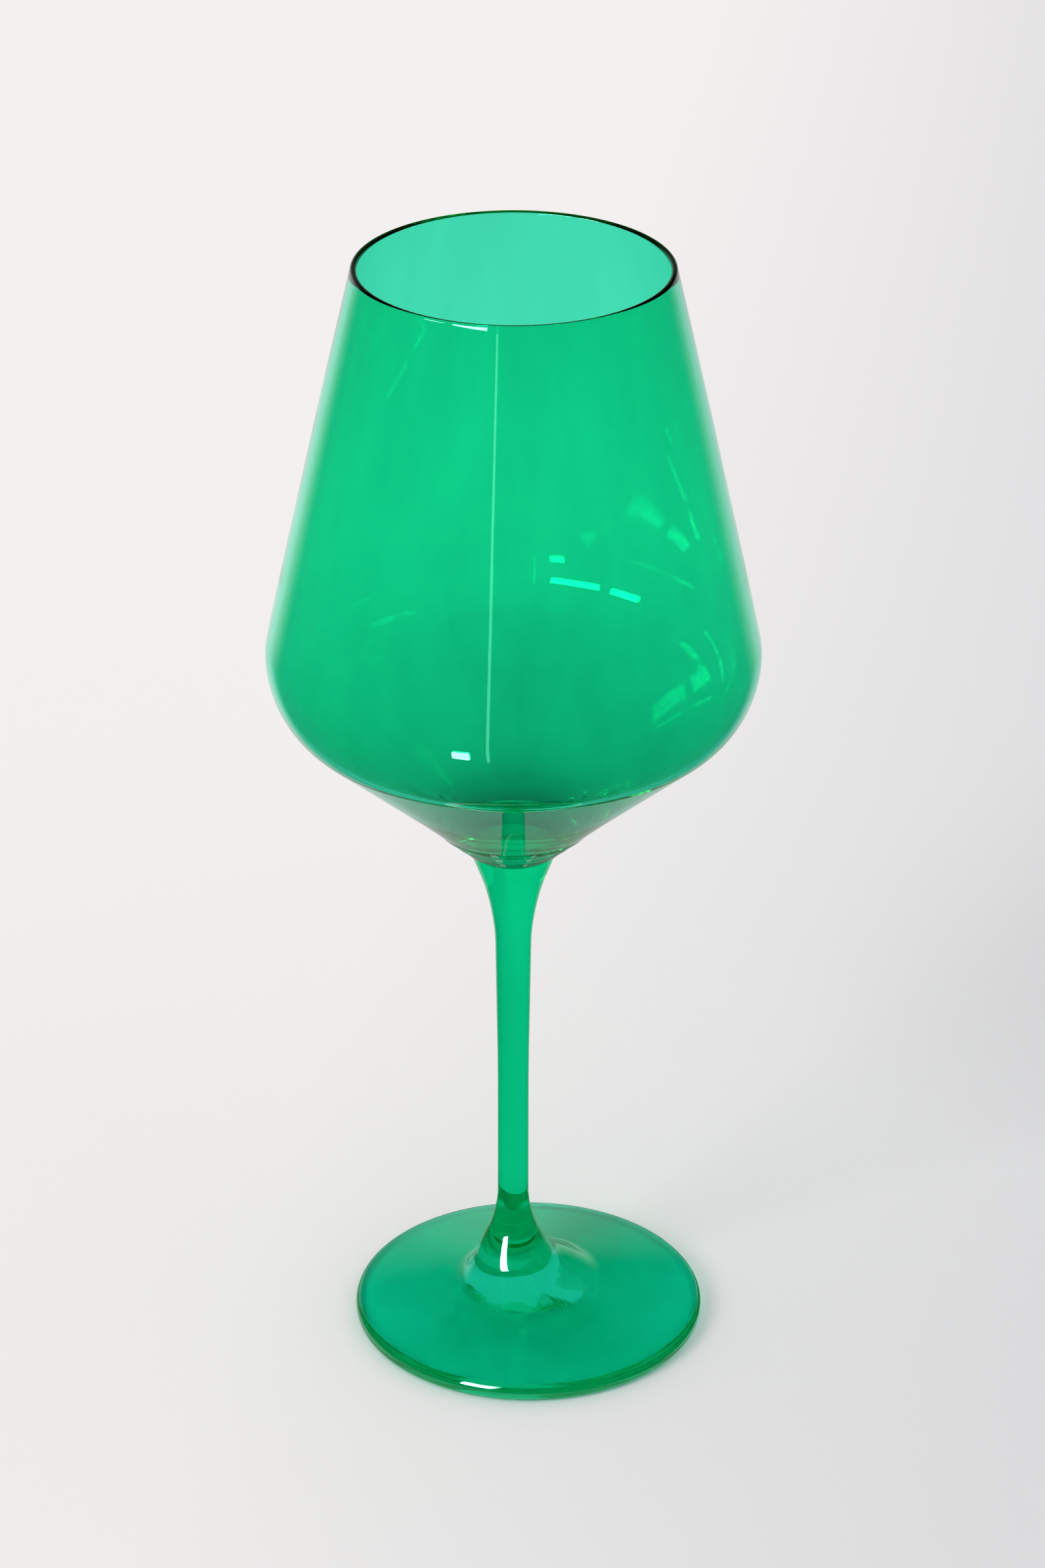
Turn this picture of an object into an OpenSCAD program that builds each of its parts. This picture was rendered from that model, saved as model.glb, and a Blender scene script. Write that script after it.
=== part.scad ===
// Hand-blown stemmed wine glass: a blown bowl, a drawn stem and a spread foot,
// three gathers of glass that are fused end to end.
// Millimetres, +Z up, origin on the table under the axis of the bowl and the stem.
// The foot's disc may lie a little off that axis.

/* [Overall] */
// Height from the table to the top of the lip
total_h = 230; // [205:1:280]

/* [Bowl] */
// Height of the bowl from its joint with the stem to the top of the lip
bowl_h = 123.5; // [100:0.5:150]
// Outer diameter of the mouth
mouth_d = 61.4; // [50:0.2:76]
// Outer diameter at the widest part
belly_d = 96.8; // [80:0.2:118]
// Height of the widest part above the joint with the stem
belly_h = 42.8; // [35:0.2:52]
// Radius of the rounded shoulder at the widest part
belly_r = 17; // [12:0.5:20]
// Thickness of the lip, which is rounded over its whole width
lip_t = 1.1; // [0.8:0.1:1.6]
// Thickness of the wall at the widest part
belly_t = 1.3; // [1:0.1:2.2]
// Thickness of the wall at the foot of the cone, where the inside's rounded bottom begins
cone_t = 2.4; // [1.6:0.1:3]
// Thickness of the glass under the middle of the bowl
floor_t = 4; // [3.25:0.25:6]

/* [Stem] */
// Diameter of the joint between stem and bowl
bowl_joint_d = 17.2; // [14:0.2:22]
// Diameter of the stem where it is thinnest, just over the foot's flare
stem_low_d = 6.1; // [5:0.1:9]
// Diameter of the stem where the upper flare begins
stem_high_d = 7.2; // [5.5:0.1:10]
// Height of the upper flare
stem_flare_h = 13.5; // [9:0.1:16]
// Radius of the bend from the stem into the upper flare
stem_flare_r = 50; // [25:1:60]

/* [Foot] */
// Diameter of the foot
foot_d = 71.8; // [60:0.2:90]
// Thickness of the foot's rounded edge
edge_t = 3.6; // [2:0.1:4]
// Slope of the foot's top towards the edge, in degrees
foot_slope = 13; // [8:0.5:15]
// Width of the flat ring that the glass stands on
ring_w = 3; // [1.5:0.5:6]
// Depth of the hollow under the foot
hollow_h = 1.5; // [0.5:0.1:2.5]
// Height of the joint between foot and stem
foot_joint_h = 16; // [14:0.5:20]
// Diameter of the joint between foot and stem
foot_joint_d = 12.4; // [11:0.2:15]
// Slope of the foot's flare at the joint, in degrees
flare_slope = 65; // [55:1:72]
// Radius of the bend from the flare into the foot's top
foot_bend_r = 8; // [4:0.5:12]
// How far the foot's disc lies off the stem's axis to the right
foot_shift_x = 3.2; // [-4:0.1:4]
// How far the foot's disc lies off the stem's axis to the back
foot_shift_y = -2.3; // [-4:0.1:4]
// Radius of the bend from the flare into the stem
stem_bend_r = 24; // [12:1:32]

/* [Hidden] */

// Greens of the clear body-coloured glass
bowl_green = [0, 0.75, 0.47, 0.55];
stem_green = [0, 0.66, 0.40, 0.75];
foot_green = [0, 0.60, 0.38, 0.65];

// Every piece is a full turn, and its arcs are drawn in steps of this many degrees
turn_fn = 128;
arc_step = 3;

// The most of a straight side that the rounding of a corner takes up
side_share = 0.95;

// How far the foot's bend runs on below the top of its disc
bend_sink = 0.4;

// Heights of the two joints, from the table
stem_bottom_z = foot_joint_h;
stem_top_z = total_h - bowl_h;

// Points are [radius, height] pairs.
// Unit vector at an angle, and the angle of a vector
function unit(angle) = [cos(angle), sin(angle)];
function angle_of(v) = atan2(v[1], v[0]);

// Arc about a centre from one angle to another, both ends included
function arc(centre, radius, from, to) =
    let (steps = max(1, ceil(abs(to - from) / arc_step)))
    [for (i = [0:steps]) centre + radius * unit(from + (to - from) * i / steps)];

// Outward normal angle of the straight wall that touches two circles of the profile. The centres
// lie inside the wall by their radii, or outside it where a radius is negative.
function wall_angle(low_centre, low_radius, high_centre, high_radius) =
    let (span = high_centre - low_centre)
    angle_of(span) - acos((low_radius - high_radius) / norm(span));

// Rounds the corner at b, between a and c, to a radius, or to the largest that the sides leave
function rounded(a, b, c, radius) =
    let (
        back = (a - b) / norm(a - b),
        on = (c - b) / norm(c - b),
        half = acos(back * on) / 2,
        reach = min(radius / tan(half), side_share * norm(a - b), side_share * norm(c - b)),
        fitted = reach * tan(half),
        middle = (back + on) / norm(back + on),
        centre = b + middle * fitted / sin(half),
        start = angle_of(b + back * reach - centre),
        swing = angle_of(b + on * reach - centre) - start,
        turn = swing > 180 ? swing - 360 : swing < -180 ? swing + 360 : swing
    )
    arc(centre, fitted, start, start + turn);

// Where the foot's flare, drawn on past the joint at its slope, meets a radius
function flare_z(r) = foot_joint_h + (foot_joint_d / 2 - r) * tan(flare_slope);

module revolved(profile) {
    rotate_extrude($fn = turn_fn) polygon(profile);
}

// The foot: a disc with a round edge, standing on a flat ring round a shallow hollow, and the
// flare that rises from it to the stem. The flare is on the stem's axis. The disc was spread by
// hand and lies a little off that axis.
module foot() {
    edge_r = edge_t / 2;
    edge_centre = [foot_d / 2 - edge_r, edge_r];
    ring_in = edge_centre[0] - ring_w;
    top_normal = 90 - foot_slope;
    top_edge = edge_centre + edge_r * unit(top_normal);
    peak = [0, top_edge[1] + top_edge[0] * tan(foot_slope)];

    // The hollow is part of a sphere whose rim is the ring's inner edge
    hollow_r = (ring_in * ring_in + hollow_h * hollow_h) / (2 * hollow_h);
    hollow_centre = [0, hollow_h - hollow_r];
    hollow_edge = acos(ring_in / hollow_r);

    // The flare's bend runs out just under the disc's top on the side where the shift lowers it
    shift = norm([foot_shift_x, foot_shift_y]);
    low_peak = peak - [0, shift * tan(foot_slope) + bend_sink];
    corner_r = (flare_z(0) - low_peak[1]) / (tan(flare_slope) - tan(foot_slope));
    corner = [corner_r, flare_z(corner_r)];
    run_out = [foot_d / 2, low_peak[1] - foot_d / 2 * tan(foot_slope)];
    joint = [foot_joint_d / 2, foot_joint_h];
    bend = rounded(run_out, corner, joint, foot_bend_r);
    base_z = hollow_h + bend_sink;

    color(foot_green) {
        translate([foot_shift_x, foot_shift_y, 0]) revolved(concat(
            arc(hollow_centre, hollow_r, 90, hollow_edge),
            arc(edge_centre, edge_r, -90, top_normal),
            [peak]
        ));
        revolved(concat([[0, base_z], [bend[0][0], base_z]], bend, [joint, [0, foot_joint_h]]));
    }
}

// The stem: solid, thinnest near the foot, widening into a flare at each end.
module stem() {
    low_joint = [foot_joint_d / 2, stem_bottom_z];
    low_corner = [stem_low_d / 2, flare_z(stem_low_d / 2)];
    high_joint = [bowl_joint_d / 2, stem_top_z];
    high_corner = [stem_high_d / 2, stem_top_z - stem_flare_h];

    color(stem_green) revolved(concat(
        [[0, stem_bottom_z], low_joint],
        rounded(low_joint, low_corner, high_corner, stem_bend_r),
        rounded(low_corner, high_corner, high_joint, stem_flare_r),
        [high_joint, [0, stem_top_z]]
    ));
}

// The bowl: a cone that rises from the joint to a rounded shoulder, and a wall that draws in
// from there to the lip. The inside follows the outside and is rounded at the bottom.
module bowl() {
    joint = [bowl_joint_d / 2, stem_top_z];
    belly = [belly_d / 2 - belly_r, stem_top_z + belly_h];
    lip_r = lip_t / 2;
    lip = [mouth_d / 2 - lip_r, total_h - lip_r];
    inner_belly_r = belly_r - belly_t;
    cone = wall_angle(joint, 0, belly, belly_r);

    // The rounded bottom is part of a sphere that leaves cone_t of glass at the cone and floor_t
    // under the middle
    cone_normal = unit(cone);
    floor_r = (cone_normal[0] * joint[0] - cone_normal[1] * floor_t - cone_t)
        / (1 + cone_normal[1]);
    floor_centre = [0, stem_top_z + floor_t + floor_r];

    wall = wall_angle(belly, belly_r, lip, lip_r);
    inner_wall = wall_angle(belly, inner_belly_r, lip, -lip_r);
    inner_cone = wall_angle(floor_centre, floor_r, belly, inner_belly_r);

    color(bowl_green) revolved(concat(
        [[0, stem_top_z], joint],
        arc(belly, belly_r, cone, wall),
        arc(lip, lip_r, wall, inner_wall + 180),
        arc(belly, inner_belly_r, inner_wall, inner_cone),
        arc(floor_centre, floor_r, inner_cone, -90)
    ));
}

foot();
stem();
bowl();
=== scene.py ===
import math
import bmesh
import bpy
from mathutils import Matrix, Vector, noise


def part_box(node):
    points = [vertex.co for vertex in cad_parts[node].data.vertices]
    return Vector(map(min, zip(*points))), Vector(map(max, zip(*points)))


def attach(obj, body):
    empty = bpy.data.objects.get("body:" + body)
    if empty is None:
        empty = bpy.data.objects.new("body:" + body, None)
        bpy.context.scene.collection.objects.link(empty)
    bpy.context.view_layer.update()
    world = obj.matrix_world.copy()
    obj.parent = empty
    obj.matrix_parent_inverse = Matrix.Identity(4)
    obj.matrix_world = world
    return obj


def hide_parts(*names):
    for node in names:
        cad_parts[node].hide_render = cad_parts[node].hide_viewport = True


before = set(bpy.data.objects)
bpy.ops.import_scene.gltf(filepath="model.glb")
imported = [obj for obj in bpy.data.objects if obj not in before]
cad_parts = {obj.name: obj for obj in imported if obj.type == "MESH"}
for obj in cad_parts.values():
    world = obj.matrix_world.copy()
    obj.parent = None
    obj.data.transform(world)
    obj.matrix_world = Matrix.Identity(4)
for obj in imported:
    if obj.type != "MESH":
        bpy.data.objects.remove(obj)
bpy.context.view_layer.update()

mm = 0.001
turnSteps = 160  # faces round every turned piece
longestSide = 1.5  # mm, along an outline
weldDistance = 0.0005 * mm
fuseGap = 0.01 * mm  # fused pieces stop this far short of their joint, so that they share no face
jointReach = 0.002 * mm  # a face whose corners are all this close to the joint's height is on it

# Places that come from the CAD solids
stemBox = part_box("stem")
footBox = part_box("foot")
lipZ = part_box("bowl")[1].z
upperJointZ = stemBox[1].z
lowerJointZ = stemBox[0].z
upperJointR = stemBox[1].x
footR = (footBox[1].x - footBox[0].x) / 2
footMiddle = Vector(((footBox[0].x + footBox[1].x) / 2, (footBox[0].y + footBox[1].y) / 2, 0))

camera = {
    "lens": 111.2,  # mm
    "sensor": 36,
    "away": 0.8547,  # from the axis of the stem, in metres
    "height": 0.5545,
    "tilt": 26.891,  # degrees below level
    "turn": 0.12,  # degrees to the right
    "roll": 0.104,
    "nearest": 0.01,
    "furthest": 50,
}


def placeCamera():
    data = bpy.data.cameras.new("camera")
    data.lens = camera["lens"]
    data.sensor_width = camera["sensor"]
    data.clip_start = camera["nearest"]
    data.clip_end = camera["furthest"]
    holder = bpy.data.objects.new("camera", data)
    bpy.context.scene.collection.objects.link(holder)
    holder.matrix_world = (
        Matrix.Translation((0, -camera["away"], camera["height"]))
        @ Matrix.Rotation(math.radians(-camera["turn"]), 4, "Z")
        @ Matrix.Rotation(math.radians(90 - camera["tilt"]), 4, "X")
        @ Matrix.Rotation(math.radians(camera["roll"]), 4, "Z")
    )
    bpy.context.scene.camera = holder


placeCamera()
print("camera placed")


# sRGB hex to a linear colour
def toLinear(hexColour):
    parts = [int(hexColour[i:i + 2], 16) / 255 for i in (1, 3, 5)]
    return tuple(c / 12.92 if c <= 0.04045 else ((c + 0.055) / 1.055) ** 2.4 for c in parts) + (1,)


# Adds a node, sets its sockets or its settings by name or number, and joins its inputs
def addNode(tree, kind, settings=None, links=None):
    node = tree.nodes.new(kind)
    for name, value in (settings or {}).items():
        if isinstance(name, int) or name in node.inputs:
            node.inputs[name].default_value = value
        else:
            setattr(node, name, value)
    for name, source in (links or {}).items():
        tree.links.new(source, node.inputs[name])
    return node


def newMaterial(name):
    material = bpy.data.materials.new(name)
    material.use_nodes = True
    material.node_tree.nodes.clear()
    return material, material.node_tree


# Soda-lime glass, coloured green in the pot. Blowing and flame leave it clear and quite smooth,
# with slow waves in the surface and faint cords, which are streaks of a deeper colour.
glass = {
    "ior": 1.52,
    "glint": "#a8fff4",  # reflections on the deep green lose some of their red
    "depthColour": "#00f0d5",  # what is left by the thickness itself
    "depthDensity": 60,
    "cordLength": 90,  # mm along the draw, where the glass was drawn
    "cordWidth": 9,  # mm
    "cordShade": 0.93,  # how much of the colour a full cord lets through
    "cordRange": (0.35, 0.7),  # the noise at which a cord begins and is full
    "waveSize": 26,  # mm
    "waveHeight": 0.02,  # mm
}


# Each piece gets its own colour, for its thickness, and painted shading: heights in metres, and the
# shade at each. This paints the glass darker or lighter along its height, as painted shade and
# light.
# The joint faces carry fused = 1: light goes straight through them, as it does through glass
# that was melted together.
def makeGlass(name, hexColour, paintedShading, draw=True):
    material, tree = newMaterial(name)
    joint = addNode(tree, "ShaderNodeAttribute", {"attribute_name": "fused"})
    place = addNode(tree, "ShaderNodeTexCoord")

    perMetre = 1000 / glass["cordWidth"]
    along = 1000 / glass["cordLength"] if draw else perMetre
    stretch = addNode(
        tree, "ShaderNodeMapping",
        {"Scale": (perMetre, perMetre, along)},
        {"Vector": place.outputs["Object"]},
    )
    cords = addNode(
        tree, "ShaderNodeTexNoise",
        {"Scale": 1.0, "Detail": 3.0, "Roughness": 0.55},
        {"Vector": stretch.outputs["Vector"]},
    )
    begins, full = glass["cordRange"]
    shade = addNode(
        tree, "ShaderNodeMapRange",
        {"From Min": begins, "From Max": full, "To Min": 1.0, "To Max": glass["cordShade"]},
        {"Value": cords.outputs["Fac"]},
    )

    height = addNode(tree, "ShaderNodeSeparateXYZ", {}, {0: place.outputs["Object"]})
    # Painted shade and light: the colour is scaled by height, darker or lighter along the piece
    paintedShadeCurve = addNode(tree, "ShaderNodeFloatCurve", {}, {"Value": height.outputs["Z"]})
    curve = paintedShadeCurve.mapping.curves[0]
    for point, (level, amount) in zip(curve.points, (paintedShading[0], paintedShading[-1])):
        point.location = (level, amount)
    for level, amount in paintedShading[1:-1]:
        curve.points.new(level, amount)
    for point in curve.points:
        point.handle_type = "VECTOR"
    paintedShadeCurve.mapping.update()

    strength = addNode(
        tree, "ShaderNodeMath", {"operation": "MULTIPLY"},
        {0: shade.outputs["Result"], 1: paintedShadeCurve.outputs["Value"]},
    )
    streaked = addNode(
        tree, "ShaderNodeVectorMath",
        {"operation": "SCALE", 0: toLinear(hexColour)[:3]},
        {"Scale": strength.outputs[0]},
    )
    tint = addNode(
        tree, "ShaderNodeMix",
        {"data_type": "RGBA", 7: (1, 1, 1, 1)},
        {"Factor": joint.outputs["Fac"], 6: streaked.outputs[0]},
    )
    bend = addNode(
        tree, "ShaderNodeMapRange",
        {"From Min": 0, "From Max": 1, "To Min": glass["ior"], "To Max": 1.0},
        {"Value": joint.outputs["Fac"]},
    )
    swell = addNode(
        tree, "ShaderNodeTexNoise",
        {"Scale": 1000 / glass["waveSize"], "Detail": 1.0, "Roughness": 0.4},
        {"Vector": place.outputs["Object"]},
    )
    ripple = addNode(
        tree, "ShaderNodeBump",
        {"Strength": 1.0, "Distance": glass["waveHeight"] * mm},
        {"Height": swell.outputs["Fac"]},
    )
    surface = addNode(
        tree, "ShaderNodeBsdfPrincipled",
        {"Roughness": 0.0, "Transmission Weight": 1.0, "Specular Tint": toLinear(glass["glint"])},
        {
            "Base Color": tint.outputs[2],
            "IOR": bend.outputs["Result"],
            "Normal": ripple.outputs["Normal"],
        },
    )
    depth = addNode(
        tree, "ShaderNodeVolumeAbsorption",
        {"Color": toLinear(glass["depthColour"]), "Density": glass["depthDensity"]},
    )
    addNode(
        tree, "ShaderNodeOutputMaterial", {},
        {"Surface": surface.outputs[0], "Volume": depth.outputs[0]},
    )
    return material


# A turned piece starts as its outline, from the axis round and back to it. Each corner is its
# radius, its height over the table and the rounding there, in mm, and the faces in the rounding.
def drawOutline(bm, corners):
    points = [bm.verts.new((radius * mm, 0, height * mm)) for radius, height, _, _ in corners]
    for start, end in zip(points, points[1:]):
        bm.edges.new((start, end))
    for point, (_, _, rounding, faces) in zip(points, corners):
        if rounding:
            one, other = [
                (edge.other_vert(point).co - point.co).normalized() for edge in point.link_edges
            ]
            bmesh.ops.bevel(
                bm, geom=[point], offset=rounding * mm / math.tan(one.angle(other) / 2),
                offset_type="OFFSET", affect="VERTICES", segments=faces, profile=0.5,
                material=-1, clamp_overlap=False,
            )
    # Long sides are cut up, so that the shading at their ends doesn't bend what they mirror
    for edge in bm.edges[:]:
        cuts = int(edge.calc_length() / (longestSide * mm))
        if cuts:
            bmesh.ops.subdivide_edges(bm, edges=[edge], cuts=cuts)


def turnOutline(bm):
    bmesh.ops.spin(
        bm, geom=bm.verts[:] + bm.edges[:], cent=(0, 0, 0), axis=(0, 0, 1), dvec=(0, 0, 0),
        angle=2 * math.pi, steps=turnSteps, use_merge=True, use_duplicate=False,
    )
    bmesh.ops.remove_doubles(bm, verts=bm.verts, dist=weldDistance)
    bmesh.ops.recalc_face_normals(bm, faces=bm.faces)


# Marks the joint faces, shades the rest smooth and hands the piece to the frame
def finishPiece(bm, name, material, joints):
    fused = bm.faces.layers.float.new("fused")
    for face in bm.faces:
        heights = [v.co.z for v in face.verts]
        onJoint = any(max(abs(h - joint) for h in heights) < jointReach for joint in joints)
        face[fused] = 1.0 if onJoint else 0.0
        face.smooth = not onJoint
    for edge in bm.edges:
        if len({face[fused] for face in edge.link_faces}) > 1:
            edge.smooth = False
    mesh = bpy.data.meshes.new(name)
    bm.to_mesh(mesh)
    bm.free()
    mesh.materials.append(material)
    piece = bpy.data.objects.new(name + "Glass", mesh)
    bpy.context.scene.collection.objects.link(piece)
    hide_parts(name)
    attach(piece, "root")
    print(name, "made,", len(mesh.polygons), "faces")
    return piece


# Corners are radius, height from the joint with the stem, and rounding, all in mm
bowl = {
    "colour": "#4ef6ca",
    "paintedShading": [  # darker low in the bowl: partly the thicker glass there, partly painted shade for the darker reflections of the cone and the dark lens at its bottom; a little darker towards the lip
        (0.107, 0.12), (0.113, 0.45), (0.118, 0.65), (0.126, 0.67), (0.135, 0.75),
        (0.145, 0.88), (0.158, 0.99), (0.18, 1.0), (0.205, 0.95), (0.23, 0.9),
    ],
    "coneRings": [  # radius and height of the tool marks where the bowl was joined to the stem
        (9.99, 1.1), (11.0, 2.3), (12.65, 3.45), (13.7, 4.7), (15.35, 5.85), (16.4, 7.1),
    ],
    "ringRounding": 1.0,
    "ringFaces": 4,
    "cone": (22.5, 12.6, 60),
    "belly": (50.3, 36.7, 17),
    "wall": (41.35, 78, 2500),
    "lipOut": 30.75,  # radius
    "lipIn": 29.5,
    "lipRounding": 0.5,
    "lipFaces": 8,
    "wallIn": (40.02, 78, 2500),
    "bellyIn": (48.87, 37.18, 15.7),
    "coneIn": (23.9, 15.5, 40),
    "bottom": (9.0, 4.0, 25),
    "curveFaces": 24,
}


def makeBowl():
    material = makeGlass("green blown soda-lime glass", bowl["colour"], bowl["paintedShading"])
    base = upperJointZ / mm
    low = base + fuseGap / mm
    bm = bmesh.new()

    def curves(names):
        return [
            (radius, base + height, rounding, bowl["curveFaces"])
            for radius, height, rounding in (bowl[name] for name in names)
        ]

    drawOutline(
        bm,
        [(0, low, 0, 0), (upperJointR / mm, low, 0, 0)]
        + [(r, base + z, bowl["ringRounding"], bowl["ringFaces"]) for r, z in bowl["coneRings"]]
        + curves(("cone", "belly", "wall"))
        + [(bowl[k], lipZ / mm, bowl["lipRounding"], bowl["lipFaces"]) for k in ("lipOut", "lipIn")]
        + curves(("wallIn", "bellyIn", "coneIn", "bottom"))
        + [(0, base + bowl["bottom"][1], 0, 0)],
    )
    turnOutline(bm)
    return finishPiece(bm, "bowl", material, [upperJointZ + fuseGap])


# Corners are radius, height from the table, and rounding, all in mm
stem = {
    "colour": "#0cd898",
    # Painted shade and light along the stem: darker at its foot, lighter at its top
    "paintedShading": [(0.016, 0.85), (0.03, 1.03), (0.07, 0.96), (0.105, 1.15)],
    "lowEnd": 6.2,  # radius at the joint with the foot
    "thin": (3.15, 22.5, 22),
    "middle": (3.15, 57, 400),
    "high": (3.75, 93.5, 45),
    "curveFaces": 16,
}


def makeStem():
    material = makeGlass("green drawn soda-lime glass", stem["colour"], stem["paintedShading"])
    low = (lowerJointZ + fuseGap) / mm
    high = (upperJointZ - fuseGap) / mm
    bm = bmesh.new()
    drawOutline(
        bm,
        [(0, low, 0, 0), (stem["lowEnd"], low, 0, 0)]
        + [stem[k] + (stem["curveFaces"],) for k in ("thin", "middle", "high")]
        + [(upperJointR / mm, high, 0, 0), (0, high, 0, 0)],
    )
    turnOutline(bm)
    return finishPiece(bm, "stem", material, [lowerJointZ + fuseGap, upperJointZ - fuseGap])


# Radii from the middle of the disc, heights from the table, mm
foot = {
    "colour": "#32dcc2",
    # no painted shading on the foot: the same at every height
    "paintedShading": [(0, 1.0), (0.016, 1.0)],
    "hollow": 1.4,  # height over the table in the middle of the underside
    "underside": (22, 0.55, 60),
    "undersideFaces": 24,
    "ring": 31.3,  # inner edge of the ring that it stands on
    "edge": 3.6,  # thickness
    "edgeRounding": 1.7,
    "flareFoot": (14.4, 8.15, 7),  # where the flare runs out into the disc
    "flareBend": (8.3, 11.6, 4),
    "curveFaces": 12,
    "shiftFrom": 6.2,  # the disc's shift off the stem's axis grows between these radii
    "shiftTo": 14,
    "shiftBelow": 5,  # under this height all of it is shifted
    "seam": 13.5,  # radius of the uneven ring where the spread disc meets the flare
    "seamWidth": 3,
    "seamHeight": 0.15,
    "seamSize": 4,
}


def makeFoot():
    material = makeGlass("green spread soda-lime glass", foot["colour"], foot["paintedShading"], draw=False)
    high = (lowerJointZ - fuseGap) / mm
    rim = footR / mm
    faces = foot["curveFaces"]
    bm = bmesh.new()
    drawOutline(bm, [
        (0, foot["hollow"], 0, 0),
        foot["underside"] + (foot["undersideFaces"],),
        (foot["ring"], 0, 0, 0),
        (rim, 0, foot["edgeRounding"], faces),
        (rim, foot["edge"], foot["edgeRounding"], faces),
        foot["flareFoot"] + (faces,),
        foot["flareBend"] + (faces,),
        (stem["lowEnd"], high, 0, 0),
        (0, high, 0, 0),
    ])
    turnOutline(bm)
    # The disc was spread by hand and lies off the axis of the stem
    for v in bm.verts:
        out = (v.co.xy.length / mm - foot["shiftFrom"]) / (foot["shiftTo"] - foot["shiftFrom"])
        share = 1 if v.co.z < foot["shiftBelow"] * mm else min(max(out, 0), 1)
        v.co += footMiddle * (share * share * (3 - 2 * share))
        seam = max(0, 1 - abs(v.co.xy.length / mm - foot["seam"]) / foot["seamWidth"])
        if v.co.z > foot["edge"] * mm and seam:
            swell = noise.noise(v.co / (foot["seamSize"] * mm))
            v.co.z += foot["seamHeight"] * mm * seam * swell
    return finishPiece(bm, "foot", material, [lowerJointZ - fuseGap])


footPiece = makeFoot()
stemPiece = makeStem()
bowlPiece = makeBowl()


def addStageMesh(bm, name, material):
    mesh = bpy.data.meshes.new(name)
    bm.to_mesh(mesh)
    bm.free()
    mesh.materials.append(material)
    ob = bpy.data.objects.new(name, mesh)
    bpy.context.scene.collection.objects.link(ob)
    return ob


# Matt painted board, pale and plain: brushed flat paint, with next to no gloss. Its colour carries
# painted light: paler to the left, where the light comes from, and dimmer to the right.
board = {
    "paintedLightColour": "#efebe9",  # painted light, to the left
    "paintedShadeColour": "#dcdadb",  # painted shade, to the right
    "paintedLightAcross": (1, -0.15, 0),  # the way the painted light dims
    "paintedShading": (-0.06, 0.11),  # where the painted light ends and the painted shade begins, in metres
    "roughness": 0.9,
    "gloss": 0.1,
    "size": 10,
    "drop": 0.05,  # mm under the foot, so that they share no face
}


def makeBoard():
    material, tree = newMaterial("matt painted board")
    place = addNode(tree, "ShaderNodeTexCoord")
    side = addNode(
        tree, "ShaderNodeVectorMath",
        {"operation": "DOT_PRODUCT", 1: board["paintedLightAcross"]},
        {0: place.outputs["Object"]},
    )
    paleEnd, dimStart = board["paintedShading"]
    paintedDimming = addNode(
        tree, "ShaderNodeMapRange",
        {"From Min": paleEnd, "From Max": dimStart, "To Min": 0.0, "To Max": 1.0},
        {"Value": side.outputs["Value"]},
    )
    # Painted light: the board's colour goes from the lit colour on the left to the shaded colour on
    # the right
    colour = addNode(
        tree, "ShaderNodeMix",
        {"data_type": "RGBA", 6: toLinear(board["paintedLightColour"]), 7: toLinear(board["paintedShadeColour"])},
        {"Factor": paintedDimming.outputs["Result"]},
    )
    surface = addNode(
        tree, "ShaderNodeBsdfPrincipled",
        {"Roughness": board["roughness"], "Specular IOR Level": board["gloss"]},
        {"Base Color": colour.outputs[2]},
    )
    addNode(tree, "ShaderNodeOutputMaterial", {}, {"Surface": surface.outputs[0]})
    bm = bmesh.new()
    bmesh.ops.create_grid(bm, x_segments=1, y_segments=1, size=board["size"])
    floor = addStageMesh(bm, "floor", material)
    floor.location.z = -board["drop"] * mm


# The light that the foot gathers on the board under it, in the green it picks up on its way
glow = {
    "colour": "#7cf3ce",
    "strength": (0.0, 0.1),  # from the dim spot outwards
    "dimSpot": (0.002, -0.013, 0),  # from the middle of the foot: the stem shades the board there
    "spread": (0.004, 0.034),  # metres from the dim spot
    "inset": 2.5,  # mm inside the foot's edge
    "drop": 0.03,  # mm, just over the board
    "corners": 96,
}


def makeGlow():
    material, tree = newMaterial("board under the foot")
    place = addNode(tree, "ShaderNodeTexCoord")
    away = addNode(
        tree, "ShaderNodeVectorMath",
        {"operation": "DISTANCE", 1: footMiddle + Vector(glow["dimSpot"])},
        {0: place.outputs["Object"]},
    )
    near, far = glow["spread"]
    weak, strong = glow["strength"]
    strength = addNode(
        tree, "ShaderNodeMapRange",
        {"From Min": near, "From Max": far, "To Min": weak, "To Max": strong},
        {"Value": away.outputs["Value"]},
    )
    surface = addNode(
        tree, "ShaderNodeBsdfPrincipled",
        {
            "Base Color": toLinear(board["paintedLightColour"]),
            "Roughness": board["roughness"],
            "Specular IOR Level": board["gloss"],
            "Emission Color": toLinear(glow["colour"]),
        },
        {"Emission Strength": strength.outputs["Result"]},
    )
    addNode(tree, "ShaderNodeOutputMaterial", {}, {"Surface": surface.outputs[0]})
    bm = bmesh.new()
    bmesh.ops.create_circle(
        bm, cap_ends=True, segments=glow["corners"], radius=footR - glow["inset"] * mm,
    )
    bmesh.ops.translate(bm, verts=bm.verts, vec=footMiddle)
    disc = addStageMesh(bm, "glow", material)
    disc.location.z = -glow["drop"] * mm


# What the glass mirrors, and only what it mirrors: a dark room to the front and the sides, a pale
# low wall at the back, and the board between, which the glass itself shades close by. Places on it
# are directions from the glass: 1 is straight to the back, or straight up.
room = {
    "colour": "#ecebea",
    "backWall": (0.60, 0.84),  # how far to the back the wall begins and is full
    "wallHeight": 0.42,  # where it has faded out
    "wallLean": 0.2,  # it is lower to the right
    "nearBoard": (0.05, 0.25),  # metres from the axis
    "nearShade": 0.3,
    "radius": 8,
    "inner": 0.041,  # just outside the foot
    "floor": 0.001,
}


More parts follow.
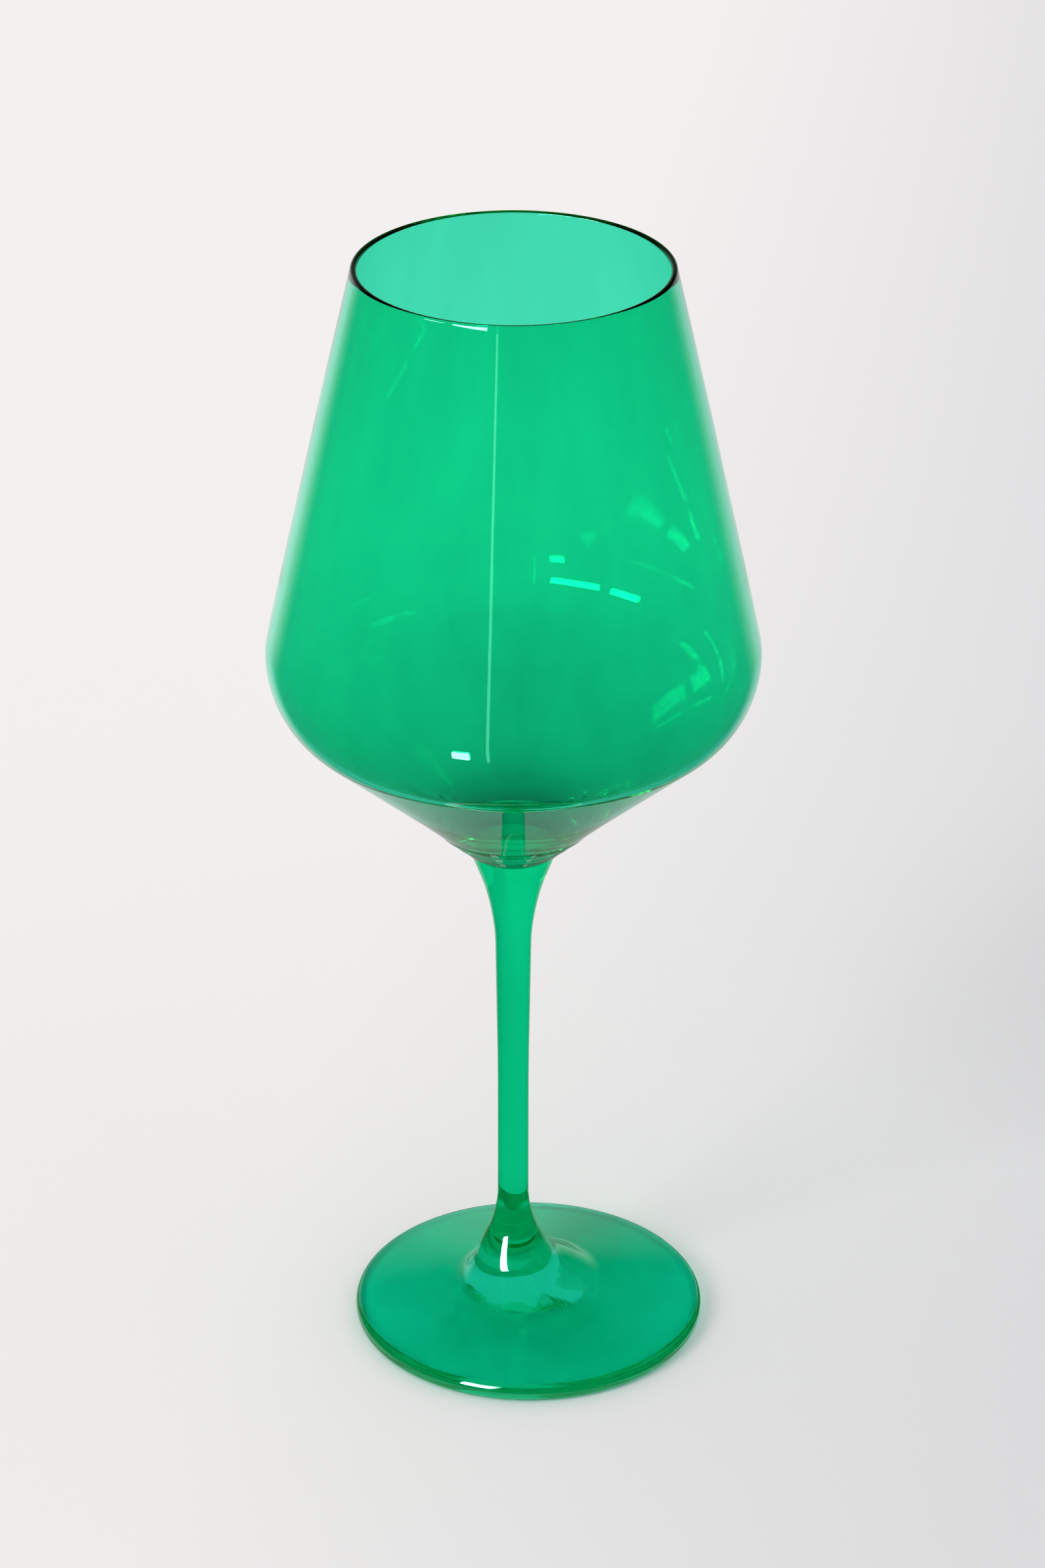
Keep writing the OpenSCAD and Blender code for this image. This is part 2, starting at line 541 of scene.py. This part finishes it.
def makeRoom():
    material, tree = newMaterial("dim room")
    place = addNode(tree, "ShaderNodeTexCoord")
    level = addNode(
        tree, "ShaderNodeMapping", {"Scale": (1, 1, 0)}, {"Vector": place.outputs["Object"]},
    )
    bearing = addNode(
        tree, "ShaderNodeVectorMath", {"operation": "NORMALIZE"}, {0: level.outputs["Vector"]},
    )
    bearingParts = addNode(tree, "ShaderNodeSeparateXYZ", {}, {0: bearing.outputs[0]})
    sight = addNode(
        tree, "ShaderNodeVectorMath", {"operation": "NORMALIZE"}, {0: place.outputs["Object"]},
    )
    sightParts = addNode(tree, "ShaderNodeSeparateXYZ", {}, {0: sight.outputs[0]})
    lean = addNode(
        tree, "ShaderNodeMath",
        {"operation": "MULTIPLY_ADD", 1: room["wallLean"]},
        {0: sightParts.outputs["X"], 2: sightParts.outputs["Z"]},
    )
    begins, full = room["backWall"]
    back = addNode(
        tree, "ShaderNodeMapRange",
        {
            "From Min": begins, "From Max": full, "To Min": 0.0, "To Max": 1.0,
            "interpolation_type": "SMOOTHSTEP",
        },
        {"Value": bearingParts.outputs["Y"]},
    )
    low = addNode(
        tree, "ShaderNodeMapRange",
        {"From Min": 0.0, "From Max": room["wallHeight"], "To Min": 1.0, "To Max": 0.0},
        {"Value": lean.outputs[0]},
    )
    fromAxis = addNode(
        tree, "ShaderNodeVectorMath", {"operation": "LENGTH"}, {0: level.outputs["Vector"]},
    )
    shaded, clear = room["nearBoard"]
    near = addNode(
        tree, "ShaderNodeMapRange",
        {"From Min": shaded, "From Max": clear, "To Min": room["nearShade"], "To Max": 1.0},
        {"Value": fromAxis.outputs["Value"]},
    )
    wall = addNode(
        tree, "ShaderNodeMath", {"operation": "MULTIPLY"}, {0: back.outputs[0], 1: low.outputs[0]},
    )
    bright = addNode(
        tree, "ShaderNodeMath", {"operation": "MULTIPLY"}, {0: wall.outputs[0], 1: near.outputs[0]},
    )
    paint = addNode(
        tree, "ShaderNodeEmission",
        {"Color": toLinear(room["colour"])},
        {"Strength": bright.outputs[0]},
    )
    addNode(tree, "ShaderNodeOutputMaterial", {}, {"Surface": paint.outputs[0]})

    bm = bmesh.new()
    inner, radius, floor = room["inner"], room["radius"], room["floor"]
    profile = ((inner, 0, floor), (radius, 0, floor), (radius, 0, radius), (0, 0, radius))
    points = [bm.verts.new(p) for p in profile]
    for start, end in zip(points, points[1:]):
        bm.edges.new((start, end))
    turnOutline(bm)
    shell = addStageMesh(bm, "room", material)
    shell.visible_camera = False
    shell.visible_diffuse = False
    shell.visible_transmission = False
    shell.visible_volume_scatter = False
    shell.visible_shadow = False


# Each light is its azimuth from the front to the right, its elevation, its width and its height, in
# degrees as the glass sees them, its radiance, and how far away it hangs in metres
lights = {
    "windowPaneLeft": (-56, 12.3, 15, 7, 36, 6),
    "windowPaneRight": (-30, 12, 24, 7, 36, 6),
    "tallWindow": (-33, 27, 20, 34, 60, 6),
    "curtainGap": (-10.5, -3, 1.3, 42.3, 3, 0.33),
    "card": (-22, -18, 7, 9, 30, 0.345),
}
studio = {
    "aim": (0, 0, 0.15),  # the lights are hung round this place
    "air": "#fcfdff",
    "airStrength": 0.89,
    "skyStrength": 1.1,
    "skyWidth": 24,  # degrees
    "skyTurn": (60, 0, -48),  # degrees
}


def hangLight(name, pieces, onlyGlints=False):
    azimuth, elevation, width, height, radiance, away = lights[name]
    bearing, lift = math.radians(azimuth), math.radians(elevation)
    outwards = Vector((
        math.sin(bearing) * math.cos(lift), -math.cos(bearing) * math.cos(lift), math.sin(lift),
    ))
    data = bpy.data.lights.new(name, "AREA")
    data.shape = "RECTANGLE"
    data.size = 2 * away * math.tan(math.radians(width) / 2)
    data.size_y = 2 * away * math.tan(math.radians(height) / 2)
    data.energy = radiance * math.pi * data.size * data.size_y
    ob = bpy.data.objects.new(name, data)
    bpy.context.scene.collection.objects.link(ob)
    ob.location = Vector(studio["aim"]) + away * outwards
    ob.rotation_euler = outwards.to_track_quat("Z", "Y").to_euler()
    ob.visible_camera = False
    ob.visible_transmission = not onlyGlints
    receivers = bpy.data.collections.new(name + "Receivers")
    for piece in pieces:
        receivers.objects.link(piece)
    ob.light_linking.receiver_collection = receivers


def lightStudio():
    world = bpy.data.worlds.new("studio")
    bpy.context.scene.world = world
    world.use_nodes = True
    background = world.node_tree.nodes["Background"]
    background.inputs["Color"].default_value = toLinear(studio["air"])
    background.inputs["Strength"].default_value = studio["airStrength"]
    hangLight("windowPaneLeft", [bowlPiece])
    hangLight("windowPaneRight", [bowlPiece])
    hangLight("tallWindow", [stemPiece, footPiece], onlyGlints=True)
    hangLight("curtainGap", [bowlPiece])
    hangLight("card", [bowlPiece])

    # The sky through the windows: it gives the soft shadow to the right
    data = bpy.data.lights.new("sky", "SUN")
    data.energy = studio["skyStrength"]
    data.angle = math.radians(studio["skyWidth"])
    sky = bpy.data.objects.new("sky", data)
    bpy.context.scene.collection.objects.link(sky)
    sky.rotation_euler = [math.radians(turn) for turn in studio["skyTurn"]]
    sky.visible_glossy = False
    sky.visible_transmission = False


makeBoard()
makeGlow()
makeRoom()
lightStudio()
bpy.context.scene.view_settings.view_transform = "Standard"

# Light is trapped in the walls and the rim of the glass, and needs many turns to get out
lightPaths = bpy.context.scene.cycles
lightPaths.max_bounces = 100
lightPaths.glossy_bounces = 90
lightPaths.transmission_bounces = 40
print("stage lit")
